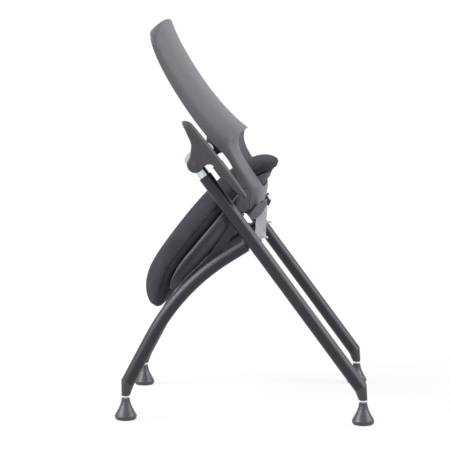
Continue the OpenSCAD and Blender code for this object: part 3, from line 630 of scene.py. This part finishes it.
# ---------------------------------------------------------------- seat pan
# Along the pan: share of the cushion's length, rim as a share of the cushion's
# height, floor as a share of the pan's depth, and half width as a share
PAN_ROWS = [
    [0.140, 0.085, -0.10, 0.80], [0.150, 0.110, -0.22, 0.88], [0.175, 0.165, -0.36, 0.93],
    [0.205, 0.215, -0.48, 0.96], [0.26, 0.275, -0.62, 0.975], [0.32, 0.300, -0.80, 0.98],
    [0.38, 0.300, -1, 0.98], [0.46, 0.300, -1, 0.98], [0.58, 0.300, -1, 0.965], [0.635, 0.300, -1, 0.88],
    [0.675, 0.300, -1, 0.78], [0.72, 0.300, -0.90, 0.735], [0.78, 0.290, -0.60, 0.725],
    [0.84, 0.262, -0.36, 0.72], [0.885, 0.190, -0.34, 0.70], [0.925, 0.080, -0.36, 0.66]]
PAN_SECTION = [
    [0, 0], [0.5, 0], [0.88, 0], [0.945, 0.06], [0.97, 0.20], [0.985, 0.55],
    [1, 1], [0.6, 1], [0, 1]]
# The bead: how far back it runs and how far out it lies, as shares, its height and radius
BEAD_END, BEAD_OUT, BEAD_LIFT, BEAD_R = 0.62, 0.962, 0.6, 1.7


def make_pan():
    ring = full_ring(PAN_SECTION, 44)
    rings = []
    for s in smooth_table(PAN_ROWS, 80):
        low, high = s[2] * PAN_DROP, s[1] * CUSHION[2]
        high = max(high, low + 0.3)
        rings.append([seat_point(p[0] * s[3] * PAN_W / 2, s[0] * CUSHION[0] - NOSE,
                                 low + (high - low) * p[1]) for p in ring])
    obj = ring_loft("pan", rings)
    return dress(obj, "pan_plastic", "seat_back", "seat_pan")


def pan_beads():
    """A rolled edge along each side of the pan's underside."""
    rows = [s for s in smooth_table(PAN_ROWS, 120) if s[0] < BEAD_END]
    line = [seat_point(BEAD_OUT * s[3] * PAN_W / 2, s[0] * CUSHION[0] - NOSE,
                       s[2] * PAN_DROP + BEAD_LIFT) for s in rows]
    left = tube("pan_bead", line, BEAD_R * MM, 12, closed=False)
    both = joined("pan_beads", [left, mirrored(left, "pan_bead_right")])
    return dress(both, "pan_plastic", "seat_back")


make_pan()
pan_beads()

# ---------------------------------------------------------------- back shell
BACK_W, BACK_H, BACK_RUN, WALL, CORNER = 456.0, 463.0, 219.0, 5.0, 46.0
SHELL_EDGE = 1.5
# Bezier lines from the hub, as shares of BACK_RUN and BACK_H: the shell's side
# edge and its middle, each below, along and above the opening
EDGE_LOW = [[-0.11, -0.075], [-0.035, 0.016], [-0.02, 0.150], [-0.285, 0.265]]
EDGE_HIGH = [[-0.285, 0.265], [-0.475, 0.346], [-1.016, 0.709], [-1.008, 0.857]]
BRIDGE = [[0.20, -0.032], [0.215, -0.01], [0.235, 0.03], [0.225, 0.060]]
HIDDEN = [[0.225, 0.060], [0.14, 0.146], [-0.14, 0.254], [0, 0.349]]
MIDDLE = [[0, 0.349], [-0.448, 0.509], [-0.831, 0.849], [-0.864, 0.927]]
# Grid rows of the bridge, the opening and the panel, and half the columns of
# the opening and of a side
BR, OR, PR, OC, SC = 4, 6, 13, 6, 7
# The opening's share of the width, and where the bridge ends on the edge's line
OPEN, PART = 0.76, 0.42


def bez(table, t):
    """A point of a Bezier line, as (y, z) in mm."""
    p = np.array(table) * [BACK_RUN, BACK_H] + HUB
    return (1 - t) ** 3 * p[0] + 3 * t * (1 - t) ** 2 * p[1] + 3 * t * t * (1 - t) * p[2] + t ** 3 * p[3]


def high_share(i):
    """How far up the panel a grid row is."""
    return math.sin(math.radians(90 * (i - BR - OR) / PR))


def edge_line(i):
    if i <= BR:
        return bez(EDGE_LOW, PART * i / BR)
    if i <= BR + OR:
        return bez(EDGE_LOW, PART + (1 - PART) * (i - BR) / OR)
    return bez(EDGE_HIGH, high_share(i))


def middle_line(i):
    if i <= BR:
        return bez(BRIDGE, i / BR)
    if i <= BR + OR:
        return bez(HIDDEN, (i - BR) / OR)
    return bez(MIDDLE, high_share(i))


def half_width(i):
    s = 0 if i <= BR + OR else max(0, (high_share(i) - 0.82) / 0.18)
    return BACK_W / 2 - CORNER * (1 - math.sqrt(1 - s * s * 0.98))


def squareness(i):
    if i <= BR + OR:
        return 4 - 0.9 * max(0, (i - BR) / OR)
    return 3.1 - 0.8 * high_share(i)


def shell_point(i, j):
    """The outside of the shell at a grid row and column: a superellipse in plan."""
    n = squareness(i)
    k = abs(j - OC - SC)
    if k <= OC:
        a = OPEN * k / OC
        s = (a, (1 - a ** n) ** (1 / n))
    else:
        d = (1 - OPEN ** n) ** (1 / n) * max(0, 1 - (k - OC) / SC)
        s = ((1 - d ** n) ** (1 / n), d)
    e, m = edge_line(i), middle_line(i)
    p = e + (m - e) * s[1]
    return np.array([(-1 if j < OC + SC else 1) * half_width(i) * s[0], p[0], p[1]]) * MM


def make_back():
    fine = 4
    rows, cols = (BR + OR + PR) * fine, 2 * (OC + SC) * fine
    grid = np.array([[shell_point(i / fine, j / fine) for j in range(cols + 1)]
                     for i in range(rows + 1)])
    du = np.gradient(grid, axis=1)
    dv = np.gradient(grid, axis=0)
    nrm = np.cross(du, dv)
    nrm /= np.maximum(np.linalg.norm(nrm, axis=2, keepdims=True), 1e-12)
    inner = grid + WALL * MM * nrm

    def has(i, j):
        """Whether the grid has a face here: not outside it or in the opening."""
        hole = BR * fine <= i < (BR + OR) * fine and SC * fine <= j < cols - SC * fine
        return 0 <= i < rows and 0 <= j < cols and not hole

    count = grid.shape[0] * grid.shape[1]
    wide = cols + 1
    faces = []
    for i in range(rows):
        for j in range(cols):
            if not has(i, j):
                continue
            a = i * wide + j
            b, c, d = a + 1, a + wide + 1, a + wide
            faces += [(a, b, c, d), (d + count, c + count, b + count, a + count)]
            rims = (((i - 1, j), b, a), ((i + 1, j), d, c), ((i, j - 1), a, d), ((i, j + 1), c, b))
            for beside, p, q in rims:
                if not has(*beside):
                    faces.append((p, q, q + count, p + count))
    points = np.concatenate([grid.reshape(-1, 3), inner.reshape(-1, 3)])
    obj = new_mesh("back", points, faces)
    bm = bmesh.new()
    bm.from_mesh(obj.data)
    bmesh.ops.delete(bm, geom=[v for v in bm.verts if not v.link_faces], context="VERTS")
    bmesh.ops.recalc_face_normals(bm, faces=bm.faces)
    bm.to_mesh(obj.data)
    bm.free()
    bevel(obj, SHELL_EDGE * MM, 3, 50)
    shade_smooth(obj)
    return dress(obj, "back_plastic", "seat_back", "back_shell")


make_back()

# ---------------------------------------------------------------- arms
ARM_LEN, ARM_W, ARM_H, ARM_OUT, ARM_WEB = 231.0, 50.0, 52.6, 322.0, 18.0
ARM_IN = ARM_OUT - ARM_WEB
ARM_DEG = math.radians(-50.7)
ARM_AT = np.array([-108.553, 609.995])
ARM_LEAD = 0.415
HUB_R, BOSS_R, ARM_CAP_R, BOSS_IN = 19.5, 10, 8, 299.3
# Along the arm: share of its length, underside and top as shares of its height,
# and half width as a share. PAD_SECTION is their half section, and WEB the
# side view of the web between pad and post.
PAD_ROWS = [
    [0.000, 0.73, 0.76, 0.50], [0.012, 0.735, 0.85, 0.68], [0.035, 0.745, 0.93, 0.82],
    [0.07, 0.755, 0.985, 0.92], [0.13, 0.76, 1, 0.98], [0.30, 0.76, 1, 1],
    [0.48, 0.76, 0.99, 1], [0.65, 0.76, 0.97, 0.98], [0.80, 0.76, 0.94, 0.92],
    [0.92, 0.755, 0.89, 0.82], [0.975, 0.75, 0.84, 0.68], [1.000, 0.745, 0.77, 0.48]]
BASE_ROWS = [
    [0.004, 0.69, 0.715, 0.46], [0.035, 0.65, 0.735, 0.78], [0.08, 0.61, 0.75, 0.90],
    [0.15, 0.55, 0.75, 0.96], [0.28, 0.57, 0.75, 0.98], [0.50, 0.59, 0.75, 0.98],
    [0.65, 0.59, 0.75, 0.95], [0.80, 0.61, 0.75, 0.89], [0.92, 0.64, 0.745, 0.78],
    [0.992, 0.69, 0.72, 0.46]]
PAD_SECTION = [[0, 0], [0.6, 0], [0.9, 0.08], [1, 0.35], [0.98, 0.62], [0.88, 0.84], [0.6, 0.96], [0, 1]]
WEB = [
    [-0.335, 0.62], [-0.27, 0.545], [-0.21, 0.475], [-0.173, 0.40], [-0.137, 0.24],
    [-0.098, 0.06], [-0.08, -0.10], [0.07, -0.10], [0.076, 0.06], [0.070, 0.23],
    [0.075, 0.385], [0.082, 0.47], [0.100, 0.545], [0.125, 0.585], [0.17, 0.62]]


def arm_yz(a, b):
    """A place a mm along the arm from its pivot and b mm above it, as (y, z)."""
    c, s = math.cos(ARM_DEG), math.sin(ARM_DEG)
    return np.array([ARM_AT[0] + a * c - b * s, ARM_AT[1] + a * s + b * c])


def arm_loft(name, rows, count=60):
    ring = full_ring(PAD_SECTION, 24)
    centre = ARM_OUT - ARM_W / 2
    rings = []
    for s in smooth_table(rows, count):
        pts = []
        for p in ring:
            y, z = arm_yz((s[0] - ARM_LEAD) * ARM_LEN, (s[1] + (s[2] - s[1]) * p[1]) * ARM_H)
            pts.append(np.array([centre + p[0] * s[3] * ARM_W / 2, y, z]) * MM)
        rings.append(pts)
    return ring_loft(name, rings)


def disc(name, centre, r, x0, x1, edge, sides=48):
    turns = [2 * math.pi * k / sides for k in range(sides)]
    out = [(centre[0] + r * math.cos(w), centre[1] + r * math.sin(w)) for w in turns]
    return side_slab(name, out, x0, x1, edge)


def make_arm():
    base = arm_loft("arm_base", BASE_ROWS)
    outline = [arm_yz(a * ARM_LEN, b * ARM_H) for a, b in WEB]
    web = side_slab("arm_web", outline, ARM_IN, ARM_OUT, 3.0)
    hub = disc("arm_hub", ARM_AT, HUB_R, ARM_IN, ARM_OUT, edge=3.0)
    boss = disc("arm_boss", ARM_AT, BOSS_R, BOSS_IN, ARM_IN + 2, edge=0.4)
    # A slightly smaller copy of the pad, which closes the gap under it
    inner_rows = [[s[0], s[1] - 0.02, s[2] - 0.035, s[3] * 0.985] for s in PAD_ROWS]
    core = arm_loft("arm_core", inner_rows)
    obj = joined("arm_bracket", [base, web, hub, boss, core])
    remesh(obj, 1.6, smooth=10)
    outward(obj)
    shade_smooth(obj)
    return obj


for side in ("left", "right"):
    if side == "left":
        arm = make_arm()
        arm.name = "arm_bracket_skin_left"
        pad = arm_loft("arm_pad_skin_left", PAD_ROWS, 90)
        cap = disc("arm_cap_skin_left", ARM_AT, ARM_CAP_R, ARM_OUT - 0.2, ARM_OUT + 1.3, edge=0.6)
        first = (arm, pad, cap)
    else:
        arm, pad, cap = [mirrored(o, o.name.replace("left", "right")) for o in first]
    body = "arm_" + side
    dress(arm, "arm_plastic", body, "arm_bracket_" + side)
    dress(pad, "arm_plastic", body, "arm_pad_" + side)
    dress(cap, "arm_plastic", body, "arm_caps_" + side)


# ---------------------------------------------------------------- hub caps, latch and knuckles
def stadium(a, b, r, steps=24):
    """A round-ended outline from a to b, as (y, z) in mm."""
    way = math.atan2(b[1] - a[1], b[0] - a[0])
    out = []
    for centre, start in ((b, way - math.pi / 2), (a, way + math.pi / 2)):
        for k in range(steps + 1):
            w = start + math.pi * k / steps
            out.append((centre[0] + r * math.cos(w), centre[1] + r * math.sin(w)))
    return out


def rounded(points, times=3):
    """Cuts an outline's corners, so that each round makes it smoother."""
    p = np.asarray(points, float)
    for _ in range(times):
        q = np.roll(p, -1, 0)
        p = np.stack([0.8 * p + 0.2 * q, 0.2 * p + 0.8 * q], 1).reshape(-1, 2)
    return [tuple(v) for v in p]


def pair(name, obj):
    """An object and its mirror image as one."""
    return joined(name, [obj, mirrored(obj, name + "_right")])


CAP_LOW, CAP_HIGH = HUB - [0, 18], HUB + [4, 14.4]
CAP_R, GROOVE_R = 11.7, 12.9
CAP_IN, CAP_OUT = 228.05, 229.6
GROOVE_IN, GROOVE_OUT = 227.2, 228.35
cap = side_slab("hub_cap", stadium(CAP_LOW, CAP_HIGH, CAP_R), CAP_IN, CAP_OUT, 0.9)
dress(pair("hub_cap_skins", cap), "back_plastic", "seat_back", "hub_caps")
# The dark rubber ring, a little larger than each cap and set just behind it, is painted shade: it stands
# for the shaded groove round the cap and draws it as a dark outline.
groove_painted_shade = side_slab("hub_groove", stadium(CAP_LOW, CAP_HIGH, GROOVE_R), GROOVE_IN, GROOVE_OUT, 0.3)
dress(pair("hub_cap_grooves", groove_painted_shade), "rubber", "seat_back")

# The latch cover at the left end: its leaf outline as shares of LEAF_REACH from
# the link's upper pivot, and the boss and peg behind it
LATCH = [
    [0.34, 0.85], [0, 0.635], [-0.39, 0.31], [-0.73, -0.04], [-0.98, -0.385], [-0.99, -0.65],
    [-0.81, -0.865], [-0.54, -0.92], [-0.10, -0.605], [0.23, -0.26], [0.50, 0.21],
    [0.65, 0.5], [0.61, 0.73], [0.50, 0.85]]
LEAF_REACH, LEAF_IN, LEAF_OUT, LEAF_EDGE = 26, 218.0, 222.7, 3.6
COVER_STEP, COVER_WAY = 15.6, math.radians(63)
COVER_AT = LINK_TOP + COVER_STEP * np.array([math.cos(COVER_WAY), math.sin(COVER_WAY)])
outline = rounded([LINK_TOP + LEAF_REACH * np.array(q) for q in LATCH])
leaf = side_slab("leaf", outline, LEAF_IN, LEAF_OUT, LEAF_EDGE, 6)
boss = disc("leaf_boss", COVER_AT, 5, 209.0, 219.5, edge=0.4)
peg = disc("leaf_peg", COVER_AT, 3, 203.0, 210.0, edge=0.4)
cover = joined("latch_cover_skin", [leaf, boss, peg])
dress(cover, "back_plastic", "seat_back", "latch_cover")
cover.data.materials[0] = MATS["cover_plastic"]

# The fluted chrome rim of each arm post's knuckle
REAR_WAY = math.radians(180 - 53.7)
KNUCKLE_AT = ARM_AT + 13 * np.array([math.cos(REAR_WAY), math.sin(REAR_WAY)])
RIM_R, RIM_IN, RIM_OUT, RIM_EDGE = 18.9, 275.5, 296.5, 0.8


def knob_outline(r, flutes=18, depth=0.9):
    w = np.linspace(0, 2 * math.pi, flutes * 12, endpoint=False)
    reach = r - depth * (0.5 + 0.5 * np.cos(flutes * w)) ** 2
    return list(zip(KNUCKLE_AT[0] + reach * np.cos(w), KNUCKLE_AT[1] + reach * np.sin(w)))


rim = side_slab("knuckle_rim", knob_outline(RIM_R), RIM_IN, RIM_OUT, RIM_EDGE, 2)
dress(pair("knuckle_rims", rim), "chrome", "leg_frame")


# ---------------------------------------------------------------- floor, world and lamps
def seen_ray(tree):
    """1 for rays that show the background: from the camera, or mirrored or bent on the way."""
    path = tree.nodes.new("ShaderNodeLightPath")
    last = path.outputs["Is Camera Ray"]
    for name in ("Is Glossy Ray", "Is Transmission Ray"):
        either = tree.nodes.new("ShaderNodeMath")
        either.operation = "MAXIMUM"
        tree.links.new(last, either.inputs[0])
        tree.links.new(path.outputs[name], either.inputs[1])
        last = either.outputs[0]
    return last


FLOOR_GLOW, SOFT_SKY = 0.82, 0.06
FADE_FROM, FADE_TO = 0.6, 2.2


def coloured(tree, kind, colour, **numbers):
    n = tree.nodes.new(kind)
    n.inputs["Color"].default_value = colour
    for key, value in numbers.items():
        n.inputs[key].default_value = value
    return n


def seen_or_lit(tree, lit, seen, out):
    """Shows one shader to rays that show the background, and lights with the other."""
    mix = tree.nodes.new("ShaderNodeMixShader")
    tree.links.new(seen_ray(tree), mix.inputs[0])
    tree.links.new(lit.outputs[0], mix.inputs[1])
    tree.links.new(seen.outputs[0], mix.inputs[2])
    tree.links.new(mix.outputs[0], out.inputs["Surface"])


def set_floor():
    bpy.ops.mesh.primitive_plane_add(size=60, location=(0, 0, 0))
    floor = bpy.context.object
    floor.name = "floor"
    m = bpy.data.materials.new("floor")
    m.use_nodes = True
    t = m.node_tree
    t.nodes.clear()
    out = t.nodes.new("ShaderNodeOutputMaterial")
    dull = coloured(t, "ShaderNodeBsdfDiffuse", (0.55, 0.55, 0.56, 1))
    pale = coloured(t, "ShaderNodeBsdfDiffuse", (0.2, 0.2, 0.2, 1))
    # The floor's own white grows with the distance from the chair, in metres,
    # so that shadows show near it and no horizon does
    glow = t.nodes.new("ShaderNodeEmission")
    place = t.nodes.new("ShaderNodeTexCoord")
    reach = t.nodes.new("ShaderNodeVectorMath")
    reach.operation = "LENGTH"
    t.links.new(place.outputs["Object"], reach.inputs[0])
    fade = t.nodes.new("ShaderNodeMapRange")
    fade.interpolation_type = "SMOOTHSTEP"
    ends = (("From Min", FADE_FROM), ("From Max", FADE_TO), ("To Min", FLOOR_GLOW), ("To Max", 1.0))
    for key, value in ends:
        fade.inputs[key].default_value = value
    t.links.new(reach.outputs["Value"], fade.inputs["Value"])
    t.links.new(fade.outputs[0], glow.inputs["Strength"])
    add = t.nodes.new("ShaderNodeAddShader")
    t.links.new(pale.outputs[0], add.inputs[0])
    t.links.new(glow.outputs[0], add.inputs[1])
    seen_or_lit(t, dull, add, out)
    floor.data.materials.append(m)


def set_world():
    world = bpy.data.worlds.new("studio")
    scene.world = world
    world.use_nodes = True
    t = world.node_tree
    t.nodes.clear()
    out = t.nodes.new("ShaderNodeOutputWorld")
    white = coloured(t, "ShaderNodeBackground", (1, 1, 1, 1), Strength=1.0)
    soft = coloured(t, "ShaderNodeBackground", (0.96, 0.97, 1, 1), Strength=SOFT_SKY)
    seen_or_lit(t, soft, white, out)


LAMP_TARGET = Vector((0, 0, 0.5))


def lamp(name, place, size, power):
    """A lamp at a place in metres, aimed at the chair, with its size and watts."""
    data = bpy.data.lights.new(name, "AREA")
    data.shape = "RECTANGLE"
    data.size, data.size_y = size
    data.energy = power
    obj = bpy.data.objects.new(name, data)
    scene.collection.objects.link(obj)
    obj.location = place
    obj.rotation_euler = (LAMP_TARGET - Vector(place)).to_track_quat("-Z", "Y").to_euler()


set_floor()
set_world()
lamp("key", (0.5, 2.7, 2.0), (1.6, 1.6), 50)
lamp("rim", (-1.2, 2.6, 2.2), (1.6, 1.6), 18)
lamp("right", (1.8, 2.6, 1.4), (1.2, 2.0), 26)
lamp("near", (2.4, -2.1, 1.7), (1.8, 1.4), 40)
lamp("left", (1.0, -2.5, 2.1), (2.0, 1.8), 85)
lamp("top", (0.2, 0.2, 3.4), (1.6, 1.6), 18)

scene.view_settings.view_transform = "Standard"
